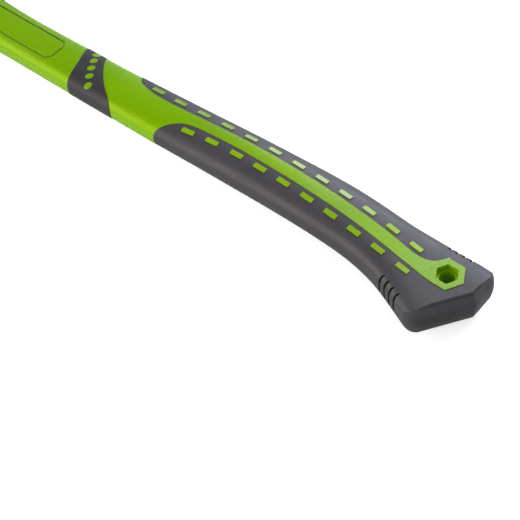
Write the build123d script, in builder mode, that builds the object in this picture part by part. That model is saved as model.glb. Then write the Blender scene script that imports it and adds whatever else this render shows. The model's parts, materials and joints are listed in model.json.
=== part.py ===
from build123d import *
import math
import os

# Shingler's hatchet: moulded handle on a fibreglass rod, forged head with a milled hammer poll,
# a replaceable cutting blade and a sliding gauge.
# Frame: origin at the centre of the hanging hole, mid thickness.
# +X runs up the handle to the head, +Y is the blade side, +Z is normal to the flat side.
# All lengths are in millimetres.

os.makedirs("parts", exist_ok=True)

PLAN_T = 40.0                           # plan outlines are extruded right through the handle
PLAN = Plane.XY.offset(-PLAN_T / 2)
THROUGH = 60.0                          # length of a cutter that passes through everything

# ---------------------------------------------------------------- handle dimensions
# x, edge on the poll side, edge on the blade side
STATIONS = [
    (-32.0, -18.0, 47.6), (-16.0, -18.2, 40.6), (0.0, -18.6, 33.5), (12.0, -18.85, 28.3),
    (24.0, -19.2, 23.2), (34.0, -19.9, 19.6), (44.0, -20.8, 16.9), (56.0, -22.25, 14.8),
    (72.0, -23.7, 13.45), (92.0, -24.15, 12.65), (118.0, -23.6, 12.4), (148.0, -22.65, 12.7),
    (178.0, -21.35, 13.15), (208.0, -20.0, 13.85), (242.0, -18.5, 14.25), (276.0, -17.5, 14.3),
    (312.0, -17.0, 14.4), (345.0, -16.8, 14.4), (384.0, -16.8, 14.4),
]
# x, half thickness
HALF_THICK = [
    (-32, 10.7), (20, 10.6), (45, 10.5), (80, 10.8), (110, 11.0), (150, 10.8),
    (190, 10.2), (230, 9.7), (270, 9.3), (310, 9.2), (400, 9.2),
]
# x, superellipse exponent
SQUARENESS = [
    (-32, 4.5), (0, 4.5), (15, 4.2), (40, 3.2), (70, 2.6), (110, 2.5),
    (190, 2.5), (230, 2.6), (270, 2.8), (400, 2.8),
]
SECTION_POINTS = 28

GRIP_SKIN = 0.22        # soft grip, above the base handle surface
GRIP_INNER = 1.4        # depth of the recess the grip is moulded into
DASH_RISE = 0.75        # dashes, above the base handle surface
SWOOSH_RISE = [(178, 0.5), (242, 0.0)]  # x, rise: the swoosh runs out into the neck

# pommel end: corners of the plan outline before rounding, and outward normals of its sides
POLL_CORNER, TIP_CORNER, KINK = (-19.81, -19.65), (1.40, 33.21), (-19.81, 2.51)
FACET_NORMAL, END_NORMAL = (-0.823, 0.568), (-1.0, 0.0)
POLL_NORMAL, BLADE_NORMAL = (0.0, -1.0), (0.403, 0.915)
POMMEL_HALF_T = 10.66
POMMEL_CROWN = 1.9      # the end faces are this much shorter at the flat sides than mid thickness
POMMEL_FILLET = 1.9
POLL_EDGE_X = 4.0       # where the outline leaves the poll-side edge
BLADE_EDGE_RUN = (16.5, -7.27)  # run of the blade-side edge from the tip

HOLE_R = 4.3            # hanging hole
HEX_BOSS_R, HEX_RECESS_R = 10.5, 6.6    # across-corner radii of the hexagons
BOSS_Z = 11.3
RECESS_DEPTH = 3.4

CORE_W, CORE_T, CORE_CORNER_R = 20.0, 11.0, 5.0     # fibreglass rod
CORE_Y = -1.4
CORE_X0, CORE_X1 = 26.0, 413.0

# boundary between jacket and grip, x and y
SWOOSH_POLL = [
    (237.1, -12.1), (229.4, -9.5), (221.2, -8.25), (211.0, -7.85), (200.8, -8.2),
    (190.7, -8.85), (180.6, -9.5), (160.4, -10.6), (130.2, -11.1), (100.0, -10.2),
    (80.1, -9.0), (60.2, -7.1), (40.3, -4.4), (30.3, -2.6), (20.8, -1.1),
    (14.6, -1.5), (10.3, -3.6), (7.4, -6.8), (5.25, -10.4),
]
SWOOSH_BLADE = [
    (10.3, 8.2), (20.3, 6.65), (40.3, 3.3), (60.2, 0.5), (80.1, -1.3), (100.0, -2.4),
    (120.0, -3.1), (140.0, -3.4), (155.0, -3.3), (170.3, -2.75), (178.4, -2.25), (185.5, -1.3),
    (190.8, 0.5), (196.1, 4.0), (199.8, 7.6), (202.1, 10.6), (203.9, 13.6), (205.0, 16.5),
]
SWOOSH_END = [(2.0, 0.0), (5.25, 8.8)]      # joins the two curves near the hanging hole
NECK_BOUNDS = [(205.0, 60.0), (420.0, 60.0), (420.0, -60.0), (262.0, -60.0), (243.5, -19.0)]

# raised dashes, centres in x and y
DASH_LEN, DASH_WID, DASH_CORNER_R = 8.8, 2.85, 0.45
DASHES_POLL = [
    (221.9, -11.85), (203.7, -12.15), (185.6, -13.15), (167.3, -13.95), (149.3, -14.55),
    (131.2, -14.65), (113.2, -14.25), (95.4, -13.55), (77.7, -12.35), (59.8, -10.65),
    (41.6, -8.15), (23.8, -5.25),
]
DASHES_BLADE = [
    (183.6, 3.25), (166.2, 1.35), (147.6, 0.65), (129.8, 0.65), (112.0, 1.05),
    (93.9, 2.05), (76.0, 3.45), (58.1, 5.25), (40.0, 7.55), (21.3, 10.45),
]

# collar band across the neck: its two edges, x and y
BAND_HEAD_EDGE = [
    (292.0, -24.0), (288.1, -15.6), (281.9, -1.2), (278.6, 10.7), (277.6, 16.5), (277.0, 24.0),
]
BAND_POMMEL_EDGE = [
    (233.0, 24.0), (238.6, 16.5), (243.7, 11.2), (251.8, 5.4), (261.6, -3.2), (270.9, -14.8),
    (276.0, -24.0),
]
# ovals in the band: x, y, turn in degrees
OVALS = [
    (277.7, -13.2, 62), (274.4, -7.7, 62), (270.9, -2.0, 58), (267.0, 3.7, 52), (262.8, 9.4, 46),
]
OVAL_RADII = (2.6, 2.1)

# finger grooves near the pommel: x and y of the inner end, outward direction in degrees
GROOVES_BLADE = [(26.9, 17.6, 66.5), (22.3, 19.2, 66.5), (17.8, 21.1, 66.5), (13.3, 23.1, 66.5)]
GROOVES_POLL = [(9.6, -15.1, -91.0), (5.1, -15.0, -91.0), (0.5, -14.9, -91.0), (-4.1, -14.8, -91.0)]
# row, width, slant of the inner end
GROOVE_ROWS = [(GROOVES_BLADE, 1.6, 1.5), (GROOVES_POLL, 1.95, 0.3)]
GROOVE_LEN = 14

# label panel on the neck, outlined by a shallow groove on both faces
PANEL = [
    (299.0, -5.4), (299.0, 4.6), (303.0, 8.3), (369.0, 8.3),
    (373.0, 4.6), (373.0, -5.4), (369.0, -9.8), (303.2, -9.8),
]
PANEL_GROOVE_W, PANEL_GROOVE_D = 1.4, 0.7

# gate vestige on the end face, and its witness line across the kink
GATE_PLANE = Plane(origin=(-21.0, 0.23, 1.79), x_dir=(0, 1, 0), z_dir=(1, 0, 0))
GATE_R, GATE_CUT = 0.5, 1.75
WITNESS_PLANE = Plane(origin=(-19.5, 3.0, 1.1), x_dir=(0.48, 0.81, -0.32), z_dir=(-0.84, 0.54, 0.1))
WITNESS_LEN, WITNESS_W, WITNESS_CORNER_R, WITNESS_CUT = 2.5, 0.42, 0.18, 0.5

# ---------------------------------------------------------------- head dimensions
SHOULDER_X = 384.0      # end of the jacket, underside of the eye
HEAD_X1 = 418.0         # top of the eye
EDGE_Y = 116.0          # cutting edge
EDGE_BOW = (390.5, EDGE_Y + 2.6)
HEEL_A, HEEL_B, TOE = (387.0, 46.0), (359.0, 115.0), (421.0, EDGE_Y)
HEEL_DIR = (-0.376, 0.9267)
HEEL_CURVE = [(SHOULDER_X, 18.5), (386.0, 26.0), (388.8, 35.0), HEEL_A]
TOP_CURVE = [TOE, (418.6, 88.0), (416.6, 52.0), (HEAD_X1, 22.0)]
# corners on the poll side and their radii
HEAD_CORNERS = [
    ((SHOULDER_X, -21.0), 6.0), ((388.5, -31.0), 4.0),
    ((412.5, -31.0), 4.0), ((HEAD_X1, -21.0), 6.0),
]
# y, half thickness of the head
THICKNESS = [
    (-31.0, 11.3), (-22.0, 12.2), (-12.0, 13.5), (-2.0, 14.0), (8.0, 13.6), (17.0, 11.4),
    (26.0, 8.2), (36.0, 5.7), (50.0, 4.3), (70.0, 3.6), (92.0, 3.1), (108.0, 2.6),
]
BEVEL_END_Y, BEVEL_END_T = EDGE_Y + 3.0, 0.2
BLANK_T = 60            # full thickness of the blank before it is shaped
BLANK_X0, BLANK_LEN = 340, 100
FORGING_FILLET = 0.9

POLL_X = 399.0          # axis of the hammer poll
FACE_Y = -64.0          # striking face
FACE_R = 14.6
NECK_R, NECK_Y, NECK_LEN = 13.0, -16, 32    # octagonal neck
BELL_ROOT_R, BELL_ROOT_Y = 11.6, -40.0
# outline of the bell: radius, y
BELL_FLARE = [(12.6, -46.0), (13.6, -49.2), (FACE_R, -52.0)]
BELL_CROWN = [(FACE_R - 1.5, FACE_Y + 0.35), (7, FACE_Y + 0.09), (0.0, FACE_Y)]
MILL_PITCH = 2.5        # waffle on the striking face
MILL_EACH_SIDE = 5
MILL_HALF_W, MILL_OVERCUT, MILL_DEPTH, MILL_REACH = 0.95, 0.35, 0.85, 20
NAIL_GROOVE_R, NAIL_GROOVE_OUT = 2.3, 0.6
NAIL_GROOVE_Y, NAIL_GROOVE_LEN = -38, 30

EYE_RY, EYE_RZ = 14.0, 8.2              # eye at the shoulder
EYE_FLARE_Y, EYE_FLARE_Z = 1.6, 1.0     # growth of those radii up to the top of the eye
EPOXY_GAP = 0.6         # from the shoulder up to the epoxy
CAP_PLUG = 4.0          # depth of the eye cap inside the eye
CAP_RY, CAP_RZ, CAP_T, CAP_FILLET = 16.8, 10.6, 2.0, 1.2

PIN_X, PIN_R, PIN_LEN = POLL_X, 2.5, 27.2
PIN_BORE_R, PIN_SLIT_W, PIN_SLIT_T = 1.45, 0.9, 3.0

MAGNET_TOP, MAGNET_Y = 411.0, -32.0
MAGNET_POCKET = 5.0
MAGNET_CUP_R, MAGNET_CUP_H, MAGNET_CUP_DEPTH = 4.5, 4.8, 4.0
MAGNET_R, MAGNET_H, MAGNET_CHAMFER = 3.6, 3.8, 0.3
MAGNET_CUP_X0 = MAGNET_TOP - MAGNET_POCKET
MAGNET_CUP_X1 = MAGNET_CUP_X0 + MAGNET_CUP_H

# cutting blade at the heel; local x runs along the heel edge, local y points out of the head
HEEL_SEAT = (373.8, 94.6)
CUTTER_SEAT_Z, NUT_SEAT_Z = 1.5, 2.2
HEEL_PLANE = Plane(origin=(*HEEL_SEAT, CUTTER_SEAT_Z), x_dir=(*HEEL_DIR, 0), z_dir=(0, 0, 1))
NUT_PLANE = Plane(origin=(*HEEL_SEAT, -NUT_SEAT_Z), x_dir=(*HEEL_DIR, 0), z_dir=(0, 0, 1))
SEAT_LEN, SEAT_W, SEAT_Y, SEAT_CORNER_R, SEAT_CUT = 37.0, 30.0, 5.0, 1.5, 10
NUT_SPOT_R = 5.2
CUTTER_T, CUTTER_HALF_LEN, CUTTER_BACK, CUTTER_EDGE = 1.0, 17.0, -9.2, 11.6
CUTTER_SHOULDER, CUTTER_EDGE_HALF, CUTTER_BEVEL = 9.5, 15.0, 0.42
CLAMP_LEN, CLAMP_W, CLAMP_T = 32.0, 11.0, 1.8
CLAMP_CORNER_R, CLAMP_CHAMFER = 2.0, 0.5
SCREW_X, SCREW_R, SCREW_CLEARANCE = 10.5, 1.95, 0.1
SCREW_SPOTS = [(-SCREW_X, 0), (SCREW_X, 0)]
SCREW_HEAD_R, SCREW_HEAD_T, SCREW_HEAD_FILLET = 3.6, 2.2, 0.9
SCREW_TAIL = 4.0        # shank beyond the nut seat
SOCKET_R, SOCKET_DEPTH = 1.45, 1.4
NUT_R, NUT_T = 4.04, 3.2

# nail notch: where it meets the heel edge, then points along the edge and into the head
NOTCH = (383.9, 53.6)
NOTCH_SHAPE = [(-4.6, -6.0), (-3.0, 0.0), (-1.1, 10.5), (1.1, 10.5), (3.0, 0.0), (4.6, -6.0)]

# sliding gauge
SLOT_X, SLOT_Y0, SLOT_Y1, SLOT_W = 406.0, 38.0, 88.0, 6.3
SLOT_CENTRE, SLOT_LEN = (SLOT_X, (SLOT_Y0 + SLOT_Y1) / 2), SLOT_Y1 - SLOT_Y0
LAND_Z = 2.7            # half thickness left by the pocket around the slot
LAND_EXTRA, LAND_W, LAND_CUT = 13.0, 19.0, 12
GAUGE_Y = 42.5          # gauge at rest
GAUGE_SPOT = (SLOT_X, GAUGE_Y)
STOP_R, STOP_T, STOP_KNURL_R, STOP_KNURLS = 8.6, 6.0, 8.75, 28
KEY_LEN, KEY_CLEARANCE, KEY_GAP = 8.2, 0.1, 0.2
STUD_R, STUD_LEN = 2.95, 12.6
WASHER_R, WASHER_T, WASHER_CLEARANCE = 7.5, 1.4, 0.25
SPRING_R, SPRING_T, SPRING_CLEARANCE = 5.4, 1.1, 0.2
SPLIT_X, SPLIT_LEN, SPLIT_W, SPLIT_TURN = 4.3, 3.4, 0.7, 18
THUMB_Z = LAND_Z + WASHER_T + SPRING_T
THUMB_COLLAR_R, THUMB_COLLAR_T = 5.6, 1.6
THUMB_R, THUMB_T, THUMB_KNURL_R, THUMB_KNURLS, THUMB_CLEARANCE = 7.6, 5.2, 7.72, 24, 0.05
KNURL_R, KNURL_LEN = 0.55, 8
GAUGE_CHAMFER = 0.6


# ---------------------------------------------------------------- handle forms
def smooth_lookup(table, x):
    """Value at x from a table of (x, value), eased between its entries."""
    if x <= table[0][0]:
        return table[0][1]
    for (x_a, value_a), (x_b, value_b) in zip(table, table[1:]):
        if x <= x_b:
            s = (x - x_a) / (x_b - x_a)
            s = s * s * (3 - 2 * s)
            return value_a + (value_b - value_a) * s
    return table[-1][1]


def section_curve(x, y_low, y_high, grow):
    """One handle section, a superellipse in (y, z), as a closed curve.

    All sections share their parameters, so that the loft stays light.
    """
    half_thick, power = smooth_lookup(HALF_THICK, x), smooth_lookup(SQUARENESS, x)
    skin = smooth_lookup(grow, x)
    y_mid, half_width = (y_low + y_high) / 2, (y_high - y_low) / 2
    points = []
    for i in range(SECTION_POINTS):
        angle = 2 * math.pi * (i + 0.5) / SECTION_POINTS
        cosine, sine = math.cos(angle), math.sin(angle)
        k = (abs(cosine) ** power + abs(sine) ** power) ** (-1 / power)
        points.append(Vector(y_mid + (half_width + skin) * k * cosine,
                             (half_thick + skin) * k * sine, 0))
    parameters = [i / SECTION_POINTS for i in range(SECTION_POINTS + 1)]
    return Edge.make_spline(points, periodic=True, parameters=parameters)


def moved_corner(point, normal_a, normal_b, distance):
    """Corner of two sides after both move outwards by a distance."""
    k = distance / (1 + normal_a[0] * normal_b[0] + normal_a[1] * normal_b[1])
    return (point[0] + k * (normal_a[0] + normal_b[0]), point[1] + k * (normal_a[1] + normal_b[1]))


def end_form(grow):
    """Trimming form for the two-facet pommel: crowned outlines, rounded rims, open to the head."""
    top = POMMEL_HALF_T + grow
    with BuildPart() as form:
        for z in (-top, -top / 2, 0.0, top / 2, top):
            distance = grow - POMMEL_CROWN * (z / top) ** 2
            poll = moved_corner(POLL_CORNER, END_NORMAL, POLL_NORMAL, distance)
            tip = moved_corner(TIP_CORNER, FACET_NORMAL, BLADE_NORMAL, distance)
            kink = moved_corner(KINK, FACET_NORMAL, END_NORMAL, distance)
            poll_edge = (POLL_EDGE_X, poll[1])
            blade_edge = (tip[0] + BLADE_EDGE_RUN[0], tip[1] + BLADE_EDGE_RUN[1])
            with BuildSketch(Plane.XY.offset(z)) as outline:
                with BuildLine():
                    Polyline(poll, poll_edge, (26.0, -33.0), (60.0, -33.0), (60.0, 52.0),
                             (34.0, 42.0), blade_edge, tip, kink, close=True)
                make_face()
                for point, radius in ((poll, 7.4 + distance), (tip, 8.6 + distance),
                                      (kink, 3.4 + distance), (poll_edge, 20.0),
                                      (blade_edge, 12.0)):
                    corner = outline.vertices().sort_by_distance((*point, z))[0]
                    fillet(corner, radius=radius)
        loft()
        # the recessed inner form keeps sharp rims
        if grow > -1:
            rim = form.edges().filter_by(lambda e: abs(abs(e.center().Z) - top) < 0.01)
            fillet(rim, radius=POMMEL_FILLET)
        # the rest of the handle passes through this block untrimmed
        with Locations((230, 10, 0)):
            Box(400, 120, 60)
    return form.part


def shaft(grow, trim=True):
    """Handle body grown by a table of (x, skin thickness), trimmed to the pommel form."""
    if trim:
        form = end_form(grow[0][1])
    with BuildPart() as body:
        for x, y_low, y_high in STATIONS:
            with BuildSketch(Plane.YZ.offset(x)):
                with BuildLine():
                    add(section_curve(x, y_low, y_high, grow))
                make_face()
        loft()
        if trim:
            add(form, mode=Mode.INTERSECT)
    return body.part


def core_rod():
    with BuildPart() as rod:
        with BuildSketch(Plane.YZ.offset(CORE_X0)):
            with Locations((CORE_Y, 0)):
                RectangleRounded(CORE_W, CORE_T, CORE_CORNER_R)
        extrude(amount=CORE_X1 - CORE_X0)
    return rod.part


# ---------------------------------------------------------------- handle plan regions
def jacket_region():
    """Everything that stays jacket green: the swoosh, then the bare neck."""
    with BuildSketch(PLAN) as region:
        with BuildLine():
            Spline(*SWOOSH_POLL)
            Polyline(SWOOSH_POLL[-1], *SWOOSH_END, SWOOSH_BLADE[0])
            Spline(*SWOOSH_BLADE)
            Polyline(SWOOSH_BLADE[-1], *NECK_BOUNDS, SWOOSH_POLL[0])
        make_face()
    return region.sketch


def hex_region():
    with BuildSketch(PLAN) as region:
        RegularPolygon(HEX_BOSS_R, 6)
    return region.sketch


def row_angle(row, i):
    """Direction of a row of points at point i, in degrees."""
    start, end = row[max(i - 1, 0)], row[min(i + 1, len(row) - 1)]
    return math.degrees(math.atan2(end[1] - start[1], end[0] - start[0]))


def dash_region():
    with BuildSketch(PLAN) as region:
        for row in (DASHES_POLL, DASHES_BLADE):
            for i, spot in enumerate(row):
                with Locations(spot):
                    RectangleRounded(DASH_LEN, DASH_WID, DASH_CORNER_R, rotation=row_angle(row, i))
    return region.sketch


def band_region():
    with BuildSketch(PLAN) as region:
        with BuildLine():
            Spline(*BAND_HEAD_EDGE)
            Line(BAND_HEAD_EDGE[-1], BAND_POMMEL_EDGE[0])
            Spline(*BAND_POMMEL_EDGE)
            Line(BAND_POMMEL_EDGE[-1], BAND_HEAD_EDGE[0])
        make_face()
    return region.sketch


def oval_region():
    with BuildSketch(PLAN) as region:
        for x, y, turn in OVALS:
            with Locations((x, y)):
                Ellipse(*OVAL_RADII, rotation=turn)
    return region.sketch


def groove_region():
    with BuildSketch(PLAN) as region:
        for grooves, width, slant in GROOVE_ROWS:
            half = width / 2
            shape = ((0, half), (GROOVE_LEN, half), (GROOVE_LEN, -half), (slant, -half))
            for x, y, turn in grooves:
                cosine, sine = math.cos(math.radians(turn)), math.sin(math.radians(turn))
                with BuildLine():
                    Polyline(*[(x + along * cosine - across * sine,
                                y + along * sine + across * cosine)
                               for along, across in shape], close=True)
                make_face()
    return region.sketch


# shared by several pieces
JACKET_PLAN, HEX_PLAN, DASH_PLAN = jacket_region(), hex_region(), dash_region()
BAND_PLAN, OVAL_PLAN = band_region(), oval_region()
GRIP_FORM = shaft([(0.0, GRIP_SKIN)])
INNER_FORM = shaft([(0.0, -GRIP_INNER)])
CORE_ROD = core_rod()


# ---------------------------------------------------------------- handle pieces
def cut_pin_hole():
    """Cuts the hole for the head pin in the part being built."""
    with Locations((PIN_X, CORE_Y, 0)):
        Cylinder(PIN_R, THROUGH, mode=Mode.SUBTRACT)


def fibreglass_core():
    with BuildPart() as core:
        add(CORE_ROD)
        cut_pin_hole()
    return core.part


def clipped_plan(plan, form):
    """Plan region extruded and clipped to a handle form."""
    with BuildPart() as clipped:
        extrude(plan, amount=PLAN_T)
        add(form, mode=Mode.INTERSECT)
    return clipped.part


def panel_groove():
    floor = shaft([(0.0, -PANEL_GROOVE_D)], trim=False)
    with BuildPart() as groove:
        with BuildSketch(PLAN):
            with BuildLine():
                Polyline(*PANEL, close=True)
            make_face()
            offset(amount=-PANEL_GROOVE_W, mode=Mode.SUBTRACT)
        extrude(amount=PLAN_T)
        add(floor, mode=Mode.SUBTRACT)
    return groove.part


def handle_jacket():
    surface = shaft(SWOOSH_RISE)
    dashes = clipped_plan(DASH_PLAN, shaft([(0.0, DASH_RISE)]))
    ovals = clipped_plan(OVAL_PLAN, GRIP_FORM)
    label_groove = panel_groove()
    with BuildPart() as jacket:
        extrude(JACKET_PLAN, amount=PLAN_T)
        extrude(BAND_PLAN, amount=PLAN_T, mode=Mode.SUBTRACT)
        add(surface, mode=Mode.INTERSECT)
        add(INNER_FORM)
        add(dashes)
        add(ovals)
        add(label_groove, mode=Mode.SUBTRACT)
        # hexagonal boss and recesses round the hanging hole
        with BuildSketch(Plane.XY.offset(-BOSS_Z)):
            RegularPolygon(HEX_BOSS_R, 6)
        extrude(amount=2 * BOSS_Z)
        for side in (-1, 1):
            with BuildSketch(Plane.XY.offset(side * BOSS_Z)):
                RegularPolygon(HEX_RECESS_R, 6)
            extrude(amount=-side * RECESS_DEPTH, mode=Mode.SUBTRACT)
        Cylinder(HOLE_R, THROUGH, mode=Mode.SUBTRACT)
        add(CORE_ROD, mode=Mode.SUBTRACT)
    return jacket.part


def grip_overmould():
    grooves = groove_region()
    with BuildPart() as grip:
        with BuildSketch(PLAN):
            with Locations((111, 0)):
                Rectangle(302, 120)
            for plan in (JACKET_PLAN, HEX_PLAN, DASH_PLAN):
                add(plan, mode=Mode.SUBTRACT)
        extrude(amount=PLAN_T)
        add(GRIP_FORM, mode=Mode.INTERSECT)
        add(INNER_FORM, mode=Mode.SUBTRACT)
        extrude(grooves, amount=PLAN_T, mode=Mode.SUBTRACT)
        with BuildSketch(GATE_PLANE):
            Circle(GATE_R)
        extrude(amount=GATE_CUT, mode=Mode.SUBTRACT)
        with BuildSketch(WITNESS_PLANE):
            RectangleRounded(WITNESS_LEN, WITNESS_W, WITNESS_CORNER_R)
        extrude(amount=WITNESS_CUT, both=True, mode=Mode.SUBTRACT)
    return grip.part


def collar_band():
    with BuildPart() as band:
        extrude(BAND_PLAN, amount=PLAN_T)
        extrude(OVAL_PLAN, amount=PLAN_T, mode=Mode.SUBTRACT)
        add(GRIP_FORM, mode=Mode.INTERSECT)
        add(INNER_FORM, mode=Mode.SUBTRACT)
    return band.part


# ---------------------------------------------------------------- forged head
def eye_plug(x0, x1):
    """Length of the tapered eye between two heights."""
    with BuildPart() as plug:
        for x in (x0, x1):
            k = (x - SHOULDER_X) / (HEAD_X1 - SHOULDER_X)
            with BuildSketch(Plane.YZ.offset(x)):
                with Locations((CORE_Y, 0)):
                    Ellipse(EYE_RY + EYE_FLARE_Y * k, EYE_RZ + EYE_FLARE_Z * k)
        loft()
    return plug.part


def head_forging():
    with BuildPart() as forging:
        # side outline
        with BuildSketch(Plane.XY.offset(-BLANK_T / 2)) as outline:
            with BuildLine():
                Line(HEAD_CORNERS[0][0], HEEL_CURVE[0])
                Spline(*HEEL_CURVE, tangents=[(0, 1), HEEL_DIR])
                Line(HEEL_A, HEEL_B)
                ThreePointArc(HEEL_B, EDGE_BOW, TOE)
                Spline(*TOP_CURVE, tangents=[(-0.12, -1), (0, -1)])
                rim = [TOP_CURVE[-1]] + [corner for corner, _ in reversed(HEAD_CORNERS)]
                for start, end in zip(rim, rim[1:]):
                    Line(start, end)
            make_face()
            for corner, radius in HEAD_CORNERS:
                vertex = outline.vertices().sort_by_distance((*corner, -BLANK_T / 2))[0]
                fillet(vertex, radius=radius)
        extrude(amount=BLANK_T)
        # thickness outline, seen along the handle
        with BuildSketch(Plane.YZ.offset(BLANK_X0)):
            with BuildLine():
                Spline(*THICKNESS)
                closing = [THICKNESS[-1], (BEVEL_END_Y, BEVEL_END_T), (BEVEL_END_Y, 0.0),
                           (THICKNESS[0][0], 0.0), THICKNESS[0]]
                for start, end in zip(closing, closing[1:]):
                    Line(start, end)
            make_face()
            mirror(about=Plane.XZ)
        extrude(amount=BLANK_LEN, mode=Mode.INTERSECT)
        # rounded forging edges all round the two broad faces
        rims = forging.edges().filter_by(lambda e: abs(e.center().Z) > 3.0 and e.center().Y < 112)
        fillet(rims, radius=FORGING_FILLET)
    return forging.part


def hammer_poll():
    """Octagonal neck and belled, milled face."""
    root, *flare = [(POLL_X + radius, y) for radius, y in [(BELL_ROOT_R, BELL_ROOT_Y), *BELL_FLARE]]
    crown = [(POLL_X + radius, y) for radius, y in BELL_CROWN]
    face_rim = (POLL_X + FACE_R, FACE_Y + 1.5)
    axis_root = (POLL_X, BELL_ROOT_Y)
    groove_top, groove_floor = FACE_Y - MILL_OVERCUT, FACE_Y + MILL_DEPTH
    with BuildPart() as poll:
        with BuildSketch(Plane.XZ.offset(-NECK_Y)):
            with Locations((POLL_X, 0)):
                RegularPolygon(NECK_R, 8, rotation=22.5)
        extrude(amount=NECK_LEN)
        with BuildSketch(Plane.XY):
            with BuildLine():
                Polyline(axis_root, root, flare[0])
                Spline(*flare, tangents=[(0.1, -1), (0.3, -1)])
                Line(flare[-1], face_rim)
                Line(face_rim, crown[0])
                ThreePointArc(*crown)
                Line(crown[-1], axis_root)
            make_face()
        revolve(axis=Axis((POLL_X, 0, 0), (0, 1, 0)))
        # two crossed sets of V grooves
        for k in range(-MILL_EACH_SIDE, MILL_EACH_SIDE + 1):
            x = POLL_X + k * MILL_PITCH
            z = k * MILL_PITCH
            with BuildSketch(Plane.XY):
                with BuildLine():
                    Polyline((x - MILL_HALF_W, groove_top), (x + MILL_HALF_W, groove_top),
                             (x, groove_floor), close=True)
                make_face()
            extrude(amount=MILL_REACH, both=True, mode=Mode.SUBTRACT)
            with BuildSketch(Plane.YZ.offset(POLL_X)):
                with BuildLine():
                    Polyline((groove_top, z - MILL_HALF_W), (groove_top, z + MILL_HALF_W),
                             (groove_floor, z), close=True)
                make_face()
            extrude(amount=MILL_REACH, both=True, mode=Mode.SUBTRACT)
    return poll.part


def hatchet_head():
    forging, poll = head_forging(), hammer_poll()
    with BuildPart() as head:
        add(forging)
        add(poll)
        add(eye_plug(SHOULDER_X, HEAD_X1), mode=Mode.SUBTRACT)
        cut_pin_hole()
        # nail-starting groove along the top of the bell
        with BuildSketch(Plane.XZ.offset(-NAIL_GROOVE_Y)):
            with Locations((POLL_X + FACE_R + NAIL_GROOVE_OUT, 0)):
                Circle(NAIL_GROOVE_R)
        extrude(amount=NAIL_GROOVE_LEN, mode=Mode.SUBTRACT)
        # magnet pocket
        with BuildSketch(Plane.YZ.offset(MAGNET_TOP)):
            with Locations((MAGNET_Y, 0)):
                Circle(MAGNET_CUP_R)
        extrude(amount=-MAGNET_POCKET, mode=Mode.SUBTRACT)
        # gauge slot with a flat land milled round it on both faces
        for side in (-1, 1):
            with BuildSketch(Plane.XY.offset(side * LAND_Z)):
                with Locations(SLOT_CENTRE):
                    SlotOverall(SLOT_LEN + LAND_EXTRA, LAND_W, rotation=90)
            extrude(amount=side * LAND_CUT, mode=Mode.SUBTRACT)
        with BuildSketch(PLAN):
            with Locations(SLOT_CENTRE):
                SlotOverall(SLOT_LEN, SLOT_W, rotation=90)
        extrude(amount=PLAN_T, mode=Mode.SUBTRACT)
        # nail notch in the heel edge
        with BuildSketch(PLAN):
            with BuildLine():
                Polyline(*[(NOTCH[0] + along * HEEL_DIR[0] + depth * HEEL_DIR[1],
                            NOTCH[1] + along * HEEL_DIR[1] - depth * HEEL_DIR[0])
                           for along, depth in NOTCH_SHAPE], close=True)
            make_face()
        extrude(amount=PLAN_T, mode=Mode.SUBTRACT)
        # seat for the cutting blade, flats for its nuts, and screw holes
        with BuildSketch(HEEL_PLANE):
            with Locations((0, SEAT_Y)):
                RectangleRounded(SEAT_LEN, SEAT_W, SEAT_CORNER_R)
        extrude(amount=SEAT_CUT, mode=Mode.SUBTRACT)
        with BuildSketch(NUT_PLANE):
            with Locations(*SCREW_SPOTS):
                Circle(NUT_SPOT_R)
        extrude(amount=-SEAT_CUT, mode=Mode.SUBTRACT)
        with BuildSketch(HEEL_PLANE):
            with Locations(*SCREW_SPOTS):
                Circle(SCREW_R + SCREW_CLEARANCE)
        extrude(amount=THROUGH / 2, both=True, mode=Mode.SUBTRACT)
    return head.part


# ---------------------------------------------------------------- head fixings
def eye_epoxy():
    with BuildPart() as epoxy:
        add(eye_plug(SHOULDER_X + EPOXY_GAP, HEAD_X1 - CAP_PLUG))
        add(CORE_ROD, mode=Mode.SUBTRACT)
        cut_pin_hole()
    return epoxy.part


def eye_cap():
    with BuildPart() as cap:
        add(eye_plug(HEAD_X1 - CAP_PLUG, HEAD_X1))
        with BuildSketch(Plane.YZ.offset(HEAD_X1)):
            with Locations((CORE_Y, 0)):
                Ellipse(CAP_RY, CAP_RZ)
        extrude(amount=CAP_T)
        fillet(cap.faces().sort_by(Axis.X)[-1].edges(), radius=CAP_FILLET)
    return cap.part


def head_pin():
    """Hollow pin, slit along its blade side."""
    with BuildPart() as pin:
        with Locations((PIN_X, CORE_Y, 0)):
            Cylinder(PIN_R, PIN_LEN)
            Cylinder(PIN_BORE_R, THROUGH, mode=Mode.SUBTRACT)
        with Locations((PIN_X, CORE_Y + PIN_R, 0)):
            Box(PIN_SLIT_W, PIN_SLIT_T, THROUGH, mode=Mode.SUBTRACT)
    return pin.part


def magnet_cup():
    with BuildPart() as cup:
        with BuildSketch(Plane.YZ.offset(MAGNET_CUP_X0)):
            with Locations((MAGNET_Y, 0)):
                Circle(MAGNET_CUP_R)
        extrude(amount=MAGNET_CUP_H)
        with BuildSketch(Plane.YZ.offset(MAGNET_CUP_X1)):
            with Locations((MAGNET_Y, 0)):
                Circle(MAGNET_R)
        extrude(amount=-MAGNET_CUP_DEPTH, mode=Mode.SUBTRACT)
    return cup.part


def nail_magnet():
    with BuildPart() as magnet:
        with BuildSketch(Plane.YZ.offset(MAGNET_CUP_X1 - MAGNET_CUP_DEPTH)):
            with Locations((MAGNET_Y, 0)):
                Circle(MAGNET_R)
        extrude(amount=MAGNET_H)
        chamfer(magnet.faces().sort_by(Axis.X)[-1].edges(), length=MAGNET_CHAMFER)
    return magnet.part


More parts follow.
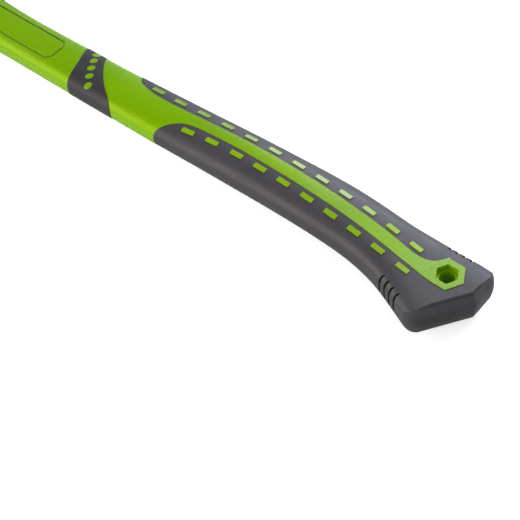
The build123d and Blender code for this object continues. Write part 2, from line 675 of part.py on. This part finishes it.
# ---------------------------------------------------------------- replaceable cutting blade
def cutting_blade():
    with BuildPart() as blade:
        with BuildSketch(HEEL_PLANE):
            with BuildLine():
                Polyline((-CUTTER_HALF_LEN, CUTTER_BACK), (CUTTER_HALF_LEN, CUTTER_BACK),
                         (CUTTER_HALF_LEN, CUTTER_SHOULDER), (CUTTER_EDGE_HALF, CUTTER_EDGE),
                         (-CUTTER_EDGE_HALF, CUTTER_EDGE), (-CUTTER_HALF_LEN, CUTTER_SHOULDER),
                         close=True)
            make_face()
            with Locations(*SCREW_SPOTS):
                Circle(SCREW_R + SCREW_CLEARANCE, mode=Mode.SUBTRACT)
        extrude(amount=CUTTER_T)
        # both long edges on the outer side
        long_edges = blade.edges().filter_by(
            lambda e: e.length > 20 and abs(e.tangent_at(0.5).Z) < 0.01)
        chamfer(long_edges.sort_by(Axis.X)[:2], length=CUTTER_BEVEL)
    return blade.part


def blade_clamp():
    with BuildPart() as clamp:
        with BuildSketch(HEEL_PLANE.offset(CUTTER_T)):
            RectangleRounded(CLAMP_LEN, CLAMP_W, CLAMP_CORNER_R)
            with Locations(*SCREW_SPOTS):
                Circle(SCREW_R + SCREW_CLEARANCE, mode=Mode.SUBTRACT)
        extrude(amount=CLAMP_T)
        chamfer(clamp.faces().sort_by(Axis.Z)[-1].outer_wire().edges(), length=CLAMP_CHAMFER)
    return clamp.part


def blade_screws():
    clamp_top = CUTTER_T + CLAMP_T      # above the seat
    shank = CUTTER_SEAT_Z + clamp_top + NUT_SEAT_Z + SCREW_TAIL
    with BuildPart() as screws:
        with Locations(HEEL_PLANE.offset(clamp_top)):
            with Locations(*SCREW_SPOTS):
                Cylinder(SCREW_HEAD_R, SCREW_HEAD_T, align=(Align.CENTER, Align.CENTER, Align.MIN))
                Cylinder(SCREW_R, shank, align=(Align.CENTER, Align.CENTER, Align.MAX))
        fillet(screws.faces().sort_by(Axis.Z)[-2:].edges(), radius=SCREW_HEAD_FILLET)
        with BuildSketch(HEEL_PLANE.offset(clamp_top + SCREW_HEAD_T)):
            with Locations(*SCREW_SPOTS):
                RegularPolygon(SOCKET_R, 6)
        extrude(amount=-SOCKET_DEPTH, mode=Mode.SUBTRACT)
    return screws.part


def blade_nuts():
    with BuildPart() as nuts:
        with BuildSketch(NUT_PLANE):
            with Locations(*SCREW_SPOTS):
                RegularPolygon(NUT_R, 6)
                Circle(SCREW_R, mode=Mode.SUBTRACT)
        extrude(amount=-NUT_T)
    return nuts.part


# ---------------------------------------------------------------- sliding shingle gauge
def cut_knurl(z, radius, count):
    """Cuts a ring of small flutes round the gauge axis in the part being built."""
    with Locations((*GAUGE_SPOT, z)):
        with PolarLocations(radius, count):
            Cylinder(KNURL_R, KNURL_LEN, mode=Mode.SUBTRACT)


def gauge_stop_screw():
    with BuildPart() as screw:
        with BuildSketch(Plane.XY.offset(-LAND_Z)):
            with Locations(GAUGE_SPOT):
                Circle(STOP_R)
        extrude(amount=-STOP_T)
        chamfer(screw.edges().filter_by(GeomType.CIRCLE), length=GAUGE_CHAMFER)
        cut_knurl(-LAND_Z - STOP_T / 2, STOP_KNURL_R, STOP_KNURLS)
        # key that fills the slot, then the stud
        with BuildSketch(Plane.XY.offset(-LAND_Z)):
            with Locations(GAUGE_SPOT):
                SlotOverall(KEY_LEN, SLOT_W - KEY_CLEARANCE, rotation=90)
        extrude(amount=2 * LAND_Z - KEY_GAP)
        with BuildSketch(Plane.XY.offset(LAND_Z - KEY_GAP)):
            with Locations(GAUGE_SPOT):
                Circle(STUD_R)
        extrude(amount=STUD_LEN)
        chamfer(screw.faces().sort_by(Axis.Z)[-1].edges(), length=GAUGE_CHAMFER)
    return screw.part


def gauge_washer():
    with BuildPart() as washer:
        with BuildSketch(Plane.XY.offset(LAND_Z)):
            with Locations(GAUGE_SPOT):
                Circle(WASHER_R)
                Circle(STUD_R + WASHER_CLEARANCE, mode=Mode.SUBTRACT)
        extrude(amount=WASHER_T)
    return washer.part


def gauge_spring_washer():
    with BuildPart() as washer:
        with BuildSketch(Plane.XY.offset(LAND_Z + WASHER_T)):
            with Locations(GAUGE_SPOT):
                Circle(SPRING_R)
                Circle(STUD_R + SPRING_CLEARANCE, mode=Mode.SUBTRACT)
            with Locations((SLOT_X + SPLIT_X, GAUGE_Y)):
                Rectangle(SPLIT_LEN, SPLIT_W, rotation=SPLIT_TURN, mode=Mode.SUBTRACT)
        extrude(amount=SPRING_T)
    return washer.part


def gauge_thumb_nut():
    with BuildPart() as nut:
        with BuildSketch(Plane.XY.offset(THUMB_Z)):
            with Locations(GAUGE_SPOT):
                Circle(THUMB_COLLAR_R)
        extrude(amount=THUMB_COLLAR_T)
        with BuildSketch(Plane.XY.offset(THUMB_Z + THUMB_COLLAR_T)):
            with Locations(GAUGE_SPOT):
                Circle(THUMB_R)
        extrude(amount=THUMB_T)
        rims = nut.edges().filter_by(GeomType.CIRCLE).filter_by(lambda e: e.radius > 7)
        chamfer(rims, length=GAUGE_CHAMFER)
        cut_knurl(THUMB_Z + THUMB_COLLAR_T + THUMB_T / 2, THUMB_KNURL_R, THUMB_KNURLS)
        with Locations((*GAUGE_SPOT, 0)):
            Cylinder(STUD_R + THUMB_CLEARANCE, THROUGH, mode=Mode.SUBTRACT)
    return nut.part


# each piece is named after the function that builds it
PIECES = [
    fibreglass_core, handle_jacket, grip_overmould, collar_band, hatchet_head, eye_epoxy, eye_cap,
    head_pin, magnet_cup, nail_magnet, cutting_blade, blade_clamp, blade_screws, blade_nuts,
    gauge_stop_screw, gauge_washer, gauge_spring_washer, gauge_thumb_nut,
]
for build in PIECES:
    piece = build()
    piece.label = build.__name__
    export_step(piece, f"parts/{piece.label}.step")
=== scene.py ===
"""Looks, stage, lights and camera for a hatchet loaded from its CAD pieces.

The hanging hole is at the origin and the handle runs along +X to the head. The striking face
(poll) looks to -Y, the cutting edge to +Y, and Z is the thickness. Lengths are in metres.
"""
import bpy
import bmesh
import json
import math
from mathutils import Matrix, Vector


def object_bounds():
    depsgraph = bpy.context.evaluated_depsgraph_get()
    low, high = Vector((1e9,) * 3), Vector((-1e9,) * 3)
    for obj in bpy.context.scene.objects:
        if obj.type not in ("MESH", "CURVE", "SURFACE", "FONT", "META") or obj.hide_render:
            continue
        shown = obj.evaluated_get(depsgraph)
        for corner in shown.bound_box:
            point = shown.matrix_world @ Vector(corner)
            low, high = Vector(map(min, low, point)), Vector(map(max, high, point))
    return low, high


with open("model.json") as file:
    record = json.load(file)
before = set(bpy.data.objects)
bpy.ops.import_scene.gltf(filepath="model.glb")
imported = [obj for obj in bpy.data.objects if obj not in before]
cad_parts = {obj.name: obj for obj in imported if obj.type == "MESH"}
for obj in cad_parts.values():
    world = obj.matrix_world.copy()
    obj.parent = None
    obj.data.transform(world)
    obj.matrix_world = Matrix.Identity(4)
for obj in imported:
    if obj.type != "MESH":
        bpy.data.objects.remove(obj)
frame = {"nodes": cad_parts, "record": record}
cad_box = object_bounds()
scene = bpy.context.scene

MM = 0.001


# ------------------------------------------------------------------ node helpers
class Signal:
    """A node output; arithmetic and comparisons on it add Math nodes."""

    def __init__(self, mat, socket):
        self.mat, self.socket = mat, socket

    def __add__(self, other):
        return self.mat.math("ADD", self, other)

    def __radd__(self, other):
        return self.mat.math("ADD", other, self)

    def __sub__(self, other):
        return self.mat.math("SUBTRACT", self, other)

    def __rsub__(self, other):
        return self.mat.math("SUBTRACT", other, self)

    def __mul__(self, other):
        return self.mat.math("MULTIPLY", self, other)

    def __truediv__(self, other):
        return self.mat.math("DIVIDE", self, other)

    def __lt__(self, other):
        return self.mat.math("LESS_THAN", self, other)

    def __gt__(self, other):
        return self.mat.math("GREATER_THAN", self, other)

    def __abs__(self):
        return self.mat.math("ABSOLUTE", self)

    def max(self, other):
        return self.mat.math("MAXIMUM", self, other)

    def ramp(self, over, to=(0.0, 1.0)):
        """Smooth step from to[0] to to[1] as the signal goes from over[0] to over[1]."""
        ramp = self.mat.node("MapRange")
        ramp.interpolation_type = "SMOOTHSTEP"
        self.mat.fill(ramp, Value=self, From_Min=over[0], From_Max=over[1],
                      To_Min=to[0], To_Max=to[1])
        return Signal(self.mat, ramp.outputs["Result"])


class Material:
    """A node material round one Principled shader, textured in object coordinates."""

    def __init__(self, name):
        self.data = bpy.data.materials.new(name)
        self.data.use_nodes = True
        self.tree = self.data.node_tree
        self.tree.nodes.clear()
        output = self.node("OutputMaterial")
        self.shader = self.node("BsdfPrincipled")
        self.tree.links.new(self.shader.outputs[0], output.inputs["Surface"])
        self.coord = Signal(self, self.node("TexCoord").outputs["Object"])

    def put(self, socket, value):
        """Link a signal to the socket, or set its value; colours get an alpha of 1."""
        if isinstance(value, Signal):
            self.tree.links.new(value.socket, socket)
        elif socket.type == "RGBA":
            socket.default_value = (*value, 1.0)
        else:
            socket.default_value = value

    def fill(self, node, **inputs):
        """Set inputs by name, with underscores for spaces."""
        for key, value in inputs.items():
            self.put(node.inputs[key.replace("_", " ")], value)

    def node(self, kind, **inputs):
        node = self.tree.nodes.new("ShaderNode" + kind)
        self.fill(node, **inputs)
        return node

    def math(self, operation, first, second=0.0):
        node = self.node("Math")
        node.operation = operation
        self.put(node.inputs[0], first)
        self.put(node.inputs[1], second)
        return Signal(self, node.outputs[0])

    def mix(self, factor, first, second):
        """Colour that goes from first to second as the factor goes from 0 to 1."""
        node = self.node("Mix")
        node.data_type = "RGBA"
        self.fill(node, Factor=factor)
        self.put(node.inputs[6], first)
        self.put(node.inputs[7], second)
        return Signal(self, node.outputs[2])

    def noise(self, scale=1.0, detail=3.0, rough=0.55, stretch=None, distort=0.0):
        """Noise; stretch gives a separate scale for each axis."""
        vector = self.coord
        if stretch:
            vector = Signal(self, self.node("Mapping", Scale=stretch, Vector=vector).outputs[0])
        node = self.node("TexNoise", Scale=scale, Detail=detail, Roughness=rough,
                         Distortion=distort, Vector=vector)
        return Signal(self, node.outputs[0])

    def voronoi(self, scale):
        node = self.node("TexVoronoi", Scale=scale, Vector=self.coord)
        return Signal(self, node.outputs["Distance"])

    def curve(self, value, points):
        """Smooth curve through points, both coordinates between 0 and 1."""
        node = self.node("FloatCurve")
        line = node.mapping.curves[0]
        line.points[0].location, line.points[1].location = points[0], points[-1]
        for point in points[1:-1]:
            line.points.new(*point)
        node.mapping.update()
        self.fill(node, Value=value)
        return Signal(self, node.outputs[0])

    def bevel(self, radius):
        """Normal rounded over edges."""
        node = self.node("Bevel", Radius=radius)
        node.samples = 4
        return Signal(self, node.outputs[0])

    def bump(self, height, distance, strength, bevel=None):
        """Normal with relief, over edges rounded by the bevel radius if one is given."""
        node = self.node("Bump", Strength=strength, Distance=distance, Height=height)
        if bevel:
            self.fill(node, Normal=self.bevel(bevel))
        return Signal(self, node.outputs[0])

    def edge(self, radius, over):
        """1 on convex or concave edges, 0 on flats, from how far a bevelled normal leans."""
        geometry = self.node("NewGeometry")
        lean = self.node("VectorMath")
        lean.operation = "DOT_PRODUCT"
        self.put(lean.inputs[0], self.bevel(radius))
        self.put(lean.inputs[1], Signal(self, geometry.outputs["Normal"]))
        return (1.0 - Signal(self, lean.outputs["Value"])).ramp(over=over)

    def crevice(self, distance, over):
        """1 in narrow grooves and along seams, 0 on open surfaces; over runs open to closed."""
        node = self.node("AmbientOcclusion", Distance=distance)
        node.samples = 8
        return Signal(self, node.outputs["AO"]).ramp(over=over)

    def separate(self, vector):
        """The x, y and z signals of a vector."""
        node = self.node("SeparateXYZ")
        self.put(node.inputs[0], vector)
        return [Signal(self, output) for output in node.outputs]

    def position(self):
        return self.separate(self.coord)

    def normal(self):
        return self.separate(Signal(self, self.node("NewGeometry").outputs["Normal"]))

    def surface(self, **inputs):
        self.fill(self.shader, **inputs)
        return self.data


# ------------------------------------------------------------------ green jacket
# The raised dashes lie outside these two lines: (x, y) in mm from the hole
DASHES_POLL = [(0.0, -1.5), (23.8, -2.8), (41.6, -5.7), (59.8, -8.2), (77.7, -9.9),
               (95, -11.0), (120, -11.8), (145, -11.9), (167, -11.4), (185, -10.4),
               (203, -9.4), (222, -9.3), (250, -9.3)]
DASHES_BLADE = [(0.0, 9.9), (21.3, 7.8), (40, 4.7), (58, 2.3), (76, 0.5), (94, -0.7),
                (112, -1.6), (130, -2.0), (147, -2.1), (166, -1.5), (184, 0.1), (250, 9.0)]
CURVE_LENGTH = 250            # mm of x, from 0, that fill the 0 to 1 of a curve
CURVE_WIDTH = 40              # mm of y, centred on 0, that do the same
DASH_START = 0.0165           # x where the dashes begin
DASH_END_POLL = 0.232         # x where they end on each side
DASH_END_BLADE = 0.190
RECESS_RADIUS = 0.0078
RECESS_HALF_DEPTH = 0.01115


def dash_mask(mat):
    """1 on the raised dashes, 0 on the swoosh and the neck."""
    x, y, _ = mat.position()
    along = x / (CURVE_LENGTH * MM)
    line_poll, line_blade = (
        mat.curve(along, [(px / CURVE_LENGTH, 0.5 + py / CURVE_WIDTH) for px, py in line])
        for line in (DASHES_POLL, DASHES_BLADE))
    across = 0.5 + y / (CURVE_WIDTH * MM)
    poll = (across < line_poll) * (x < DASH_END_POLL)
    blade = (across > line_blade) * (x < DASH_END_BLADE)
    return poll.max(blade) * (x > DASH_START)


def recess_mask(mat):
    """1 inside the hexagonal recess and the hanging hole."""
    x, y, z = mat.position()
    return (x * x + y * y < RECESS_RADIUS ** 2) * (abs(z) < RECESS_HALF_DEPTH)


def green_plastic():
    mat = Material("jacket_green")
    dash, recess = dash_mask(mat), recess_mask(mat)
    normal_y = mat.normal()[1]
    cloud = mat.noise(scale=38.0, detail=4.0)
    fine = mat.noise(scale=420.0, rough=0.6)
    flow = mat.noise(stretch=(30, 260, 260), detail=4.0, rough=0.6, distort=0.6)

    # clouded green with faint flow marks, painted light near the hole, and lighter towards the
    # head
    deep, mid, light = (0.150, 0.330, 0.0), (0.163, 0.352, 0.0), (0.168, 0.360, 0.0)
    base = mat.mix(cloud.ramp(over=(0.3, 0.75)), mid, light)
    base = mat.mix(flow.ramp(over=(0.52, 0.72)) * 0.08, base, deep)
    base = mat.mix(mat.position()[0].ramp(over=(0.075, 0.045)), base, (0.186, 0.400, 0.0))
    head_end = (mat.position()[0].ramp(over=(0.175, 0.205))
                * mat.position()[0].ramp(over=(0.262, 0.245)))
    base = mat.mix(head_end * 0.8, base, (0.176, 0.402, 0.0))

    # yellower dashes, with painted shade where they face the poll side
    dash_green = mat.mix(cloud.ramp(over=(0.3, 0.75)), (0.232, 0.412, 0.004),
                         (0.242, 0.424, 0.006))
    dash_green = mat.mix(normal_y.ramp(over=(-0.01, -0.10)), dash_green, (0.188, 0.330, 0.012))
    base = mat.mix(dash, base, dash_green)

    # painted light on faces turned to the blade side and in the recess, painted highlights on
    # the edges, painted shade in the seams
    base = mat.mix(normal_y.ramp(over=(0.15, 0.75)) * 0.9, base, (0.228, 0.475, 0.0))
    base = mat.mix(recess, base, (0.240, 0.500, 0.0))
    edge = mat.edge(radius=0.0006, over=(0.01, 0.2))
    base = mat.mix(edge * 0.65, base, (0.36, 0.56, 0.08))
    # painted shade: occlusion darkens the green in seams, weaker in the recess and stronger
    # from 0.29 m along
    seam_shade_strength = ((0.6 - recess * 0.45)
                     + mat.position()[0].ramp(over=(0.285, 0.290), to=(0.0, 0.4)))
    seam_shade = mat.crevice(distance=0.0016, over=(0.62, 0.22))
    base = mat.mix(seam_shade * seam_shade_strength, base, (0.018, 0.060, 0.0))

    height = mat.voronoi(scale=2600.0) * 0.8 + fine * 0.04
    rough = fine.ramp(over=(0.3, 0.7), to=(0.255, 0.27)) + cloud * 0.02

    # painted highlight: the sheen is green on the flats, paler and stronger facing the poll
    # side and near the hole
    x = mat.position()[0]
    poll_painted_sheen = x.ramp(over=(0.245, 0.205), to=(0.45, 1.0)) * (1.0 - dash) + dash * 0.85
    hole_painted_sheen = (x.ramp(over=(0.125, 0.090), to=(0.0, 0.34)) * (1.0 - dash)).max(
        x.ramp(over=(0.065, 0.010), to=(0.0, 0.60)))
    painted_sheen = (normal_y.ramp(over=(-0.01, -0.13)) * poll_painted_sheen).max(hole_painted_sheen * (1.0 - recess))
    return mat.surface(
        Base_Color=base, Roughness=rough, IOR=1.49,
        Specular_IOR_Level=0.52 + painted_sheen * 0.36,
        Specular_Tint=mat.mix(painted_sheen, (0.80, 1.0, 0.0), (1.0, 0.97, 1.0)),
        Subsurface_Weight=0.06, Subsurface_Radius=(0.3, 0.6, 0.05), Subsurface_Scale=0.002,
        Normal=mat.bump(height, distance=0.00003, strength=0.07, bevel=0.00035))


# ------------------------------------------------------------------ other materials
def soft_grip():
    mat = Material("grip_grey")
    cloud = mat.noise(scale=30.0, detail=4.0, rough=0.6)
    smear = mat.noise(stretch=(45, 140, 140), detail=5.0, rough=0.6, distort=0.8)
    grain = mat.voronoi(scale=2100.0)
    fine_grain = mat.noise(scale=3600.0, detail=2.0, rough=0.6)

    # clouded grey with lighter smears, painted highlights on the edges and painted shade that
    # makes the grooves near-black
    base = mat.mix(cloud.ramp(over=(0.3, 0.7)), (0.040, 0.036, 0.040), (0.050, 0.046, 0.050))
    base = mat.mix(smear.ramp(over=(0.5, 0.75)) * 0.22, base, (0.066, 0.061, 0.066))
    edge = mat.edge(radius=0.0006, over=(0.02, 0.25))
    base = mat.mix(edge * 0.65, base, (0.17, 0.175, 0.165))
    groove_shade = mat.crevice(distance=0.0022, over=(0.78, 0.30))
    base = mat.mix(groove_shade * 0.95, base, (0.004, 0.004, 0.004))

    # darker rubber towards the collar, and painted shade on the end of the pommel
    x, y, z = mat.position()
    normal_x = mat.normal()[0]
    pommel_end_shade = (normal_x.ramp(over=(-0.40, -0.80))
                  * (abs(z) + y * 0.10).ramp(over=(0.0095, 0.0030)))
    collar_dark_end_shade = x.ramp(over=(0.15, 0.29)).max(pommel_end_shade * 0.8)
    base = mat.mix(collar_dark_end_shade * 0.50, base, (0.002, 0.002, 0.002))
    return mat.surface(
        Base_Color=base, Roughness=smear.ramp(over=(0.3, 0.75), to=(0.44, 0.54)), IOR=1.48,
        Specular_IOR_Level=(0.5 - collar_dark_end_shade * 0.16) * (1.0 - groove_shade),
        Sheen_Weight=0.08, Sheen_Roughness=0.5, Sheen_Tint=(0.85, 0.82, 0.86),
        Normal=mat.bump(grain * 0.6 + fine_grain * 0.4, distance=0.00008, strength=0.45,
                        bevel=0.0004))


def head_steel():
    mat = Material("head_steel")
    y = mat.position()[1]
    cloud = mat.noise(scale=55.0, detail=5.0, rough=0.6)
    forge_scale = mat.voronoi(scale=900.0)
    grit = mat.noise(scale=2200.0, rough=0.65)

    # ground zones: the striking face, and the blade beyond a wavering line near its edge
    face = y.ramp(over=(-0.0505, -0.0520))
    blade = (y + (cloud - 0.5) * 0.004).ramp(over=(0.0905, 0.0930))
    ground = face.max(blade)
    lines = mat.noise(stretch=(2600, 60, 300), detail=4.0, rough=0.7)
    broad_lines = mat.noise(stretch=(900, 20, 120), rough=0.7)

    # dark forged skin, bright where ground and where edges are worn
    forged = mat.mix(cloud.ramp(over=(0.32, 0.7)), (0.060, 0.064, 0.070), (0.105, 0.110, 0.118))
    bright = mat.mix(lines.ramp(over=(0.35, 0.65)), (0.27, 0.28, 0.295), (0.36, 0.37, 0.385))
    worn = mat.edge(radius=0.0008, over=(0.03, 0.35)) * grit.ramp(over=(0.35, 0.6))
    base = mat.mix(ground.max(worn * 0.7), forged, bright)
    rough_forged = grit.ramp(over=(0.3, 0.7), to=(0.40, 0.56))
    rough_ground = broad_lines.ramp(over=(0.3, 0.7), to=(0.27, 0.38))
    rough = rough_forged * (1.0 - ground) + rough_ground * ground
    height = (forge_scale + grit) * 0.5 * (1.0 - ground) + lines * 0.25 * ground
    return mat.surface(
        Base_Color=base, Metallic=0.75 + ground * 0.25, Roughness=rough,
        Normal=mat.bump(height, distance=0.00012, strength=0.5, bevel=0.0005))


def plated(name, dark, light, rough, metallic=1.0, brushed=(900, 900, 60)):
    """Brushed metal between two colours, with lighter edges."""
    mat = Material(name)
    lines = mat.noise(stretch=brushed, detail=4.0, rough=0.65)
    cloud = mat.noise(scale=160.0, detail=4.0, rough=0.6)
    base = mat.mix(cloud.ramp(over=(0.3, 0.7)), dark, light)
    edge_colour = tuple(min(1.0, channel * 1.35) for channel in light)
    base = mat.mix(mat.edge(radius=0.0003, over=(0.03, 0.4)) * 0.5, base, edge_colour)
    return mat.surface(
        Base_Color=base, Metallic=metallic, Roughness=lines.ramp(over=(0.3, 0.7), to=rough),
        Normal=mat.bump(lines, distance=0.00003, strength=0.3, bevel=0.0002))


def resin():
    mat = Material("epoxy")
    cloud = mat.noise(scale=200.0, detail=4.0, rough=0.6)
    base = mat.mix(cloud.ramp(over=(0.3, 0.7)), (0.46, 0.34, 0.15), (0.62, 0.50, 0.27))
    return mat.surface(
        Base_Color=base, Roughness=cloud.ramp(over=(0.3, 0.7), to=(0.2, 0.4)),
        Subsurface_Weight=0.15, Subsurface_Scale=0.002,
        Normal=mat.bump(mat.noise(scale=900.0), distance=0.00005, strength=0.3))


def fibreglass():
    mat = Material("core_fibreglass")
    strands = mat.noise(stretch=(40, 3000, 3000), detail=5.0, rough=0.7)
    base = mat.mix(strands.ramp(over=(0.35, 0.65)), (0.52, 0.47, 0.26), (0.80, 0.76, 0.55))
    return mat.surface(
        Base_Color=base, Roughness=strands.ramp(over=(0.3, 0.7), to=(0.25, 0.4)),
        Coat_Weight=0.3, Normal=mat.bump(strands, distance=0.00006, strength=0.4))


def cap_plastic():
    mat = Material("cap_black")
    grain = mat.voronoi(scale=1800.0)
    cloud = mat.noise(scale=120.0, detail=4.0)
    base = mat.mix(cloud.ramp(over=(0.3, 0.7)), (0.018, 0.018, 0.019), (0.034, 0.034, 0.036))
    return mat.surface(
        Base_Color=base, Roughness=cloud.ramp(over=(0.3, 0.7), to=(0.42, 0.55)),
        Normal=mat.bump(grain, distance=0.00008, strength=0.5, bevel=0.0003))


PLATED = {
    "pin_steel": dict(dark=(0.25, 0.25, 0.26), light=(0.42, 0.42, 0.44), rough=(0.28, 0.42)),
    "cup_zinc": dict(dark=(0.50, 0.51, 0.53), light=(0.66, 0.67, 0.69), rough=(0.25, 0.4)),
    "magnet": dict(dark=(0.55, 0.55, 0.56), light=(0.72, 0.72, 0.73), rough=(0.12, 0.22)),
    "blade_steel": dict(dark=(0.27, 0.28, 0.30), light=(0.37, 0.38, 0.40), rough=(0.26, 0.38),
                        brushed=(120, 2600, 2600)),
    "fixing_black": dict(dark=(0.020, 0.020, 0.022), light=(0.045, 0.045, 0.05),
                         rough=(0.35, 0.5), metallic=0.8),
    "zinc": dict(dark=(0.50, 0.51, 0.54), light=(0.68, 0.69, 0.72), rough=(0.24, 0.38)),
    "brass": dict(dark=(0.55, 0.37, 0.12), light=(0.74, 0.54, 0.22), rough=(0.22, 0.36)),
}
MATERIALS = {
    "jacket_green": green_plastic(),
    "grip_grey": soft_grip(),
    "head_steel": head_steel(),
    **{name: plated(name, **look) for name, look in PLATED.items()},
    "epoxy": resin(),
    "core_fibreglass": fibreglass(),
    "cap_black": cap_plastic(),
}

slot_of = {part["node"]: part["material_slot"] for part in frame["record"]["subparts"]}
for name, piece in frame["nodes"].items():
    piece.data.materials.clear()
    piece.data.materials.append(MATERIALS[slot_of[name]])


# ------------------------------------------------------------------ stage, light and camera
FLOOR_HALF = 4.0
FLOOR_GAP = 0.0005            # between the floor and the lowest point of the tool
FLOOR_GLOW = 0.66             # emission seen by the camera only
WORLD_FILL = 0.29             # world light on the tool; the camera sees 1.0


def add_object(name, data):
    added = bpy.data.objects.new(name, data)
    bpy.context.collection.objects.link(added)
    return added


def floor_material():
    """A bright sweep: near white to the camera, with a weaker bounce on the tool."""
    mat = Material("floor")
    camera_ray = Signal(mat, mat.node("LightPath").outputs["Is Camera Ray"])
    return mat.surface(
        Base_Color=mat.mix(mat.noise(scale=3.0), (0.86, 0.86, 0.86), (0.88, 0.88, 0.88)),
        Roughness=0.9, Specular_IOR_Level=0.0,
        Emission_Color=(1.0, 1.0, 1.0), Emission_Strength=camera_ray * FLOOR_GLOW)


def stage_floor():
    shape = bmesh.new()
    z = cad_box[0][2] - FLOOR_GAP
    shape.faces.new([shape.verts.new((x * FLOOR_HALF, y * FLOOR_HALF, z))
                     for x, y in ((-1, -1), (1, -1), (1, 1), (-1, 1))])
    mesh = bpy.data.meshes.new("floor")
    shape.to_mesh(mesh)
    shape.free()
    floor = add_object("floor", mesh)
    mesh.materials.append(floor_material())


def white_world():
    world = bpy.data.worlds.new("studio")
    scene.world = world
    world.use_nodes = True
    nodes, links = world.node_tree.nodes, world.node_tree.links
    background = nodes["Background"]
    path = nodes.new("ShaderNodeLightPath")
    level = nodes.new("ShaderNodeMapRange")
    links.new(path.outputs["Is Camera Ray"], level.inputs["Value"])
    level.inputs["To Min"].default_value = WORLD_FILL
    level.inputs["To Max"].default_value = 1.0
    background.inputs["Color"].default_value = (1.0, 1.0, 1.0, 1.0)
    links.new(level.outputs["Result"], background.inputs["Strength"])


def softbox(name, azimuth, elevation, distance, target, size, radiance, colour):
    """Rectangular light seen from the target at this azimuth and elevation, in degrees."""
    azimuth, elevation = math.radians(azimuth), math.radians(elevation)
    away = Vector((math.cos(azimuth) * math.cos(elevation),
                   math.sin(azimuth) * math.cos(elevation), math.sin(elevation)))
    light = bpy.data.lights.new(name, "AREA")
    light.shape, light.size, light.size_y = "RECTANGLE", size[0], size[1]
    light.energy = radiance * math.pi * size[0] * size[1]
    light.color = colour
    turn = away.to_track_quat("Z", "Y").to_matrix().to_4x4()
    place = Matrix.Translation(Vector(target) + away * distance)
    add_object(name, light).matrix_world = place @ turn


def place_camera():
    lens = bpy.data.cameras.new("camera")
    lens.sensor_width = 36.0
    lens.lens = 93.4615
    lens.clip_start, lens.clip_end = 0.01, 50.0
    camera = add_object("camera", lens)
    right = (-0.753937, -0.649238, -0.100346)
    up = (0.465767, -0.635979, 0.615299)
    back = (-0.463293, 0.417159, 0.781881)
    place = (-0.250791, 0.354706, 0.579716)
    camera.matrix_world = Matrix(((*right, 0), (*up, 0), (*back, 0), (*place, 1))).transposed()
    scene.camera = camera


stage_floor()
white_world()
softbox("key", azimuth=-81, elevation=36, distance=1.1, target=(0.11, 0, 0),
        size=(1.05, 0.75), radiance=5.35, colour=(0.95, 0.995, 1.13))
softbox("end", azimuth=-152, elevation=8, distance=0.9, target=(0, 0, 0),
        size=(0.5, 0.4), radiance=0.8, colour=(1.0, 0.95, 0.92))
softbox("side", azimuth=52, elevation=20, distance=1.0, target=(0.15, 0, 0),
        size=(1.5, 0.72), radiance=3.0, colour=(1.0, 0.97, 0.96))
place_camera()
scene.view_settings.view_transform = "Standard"
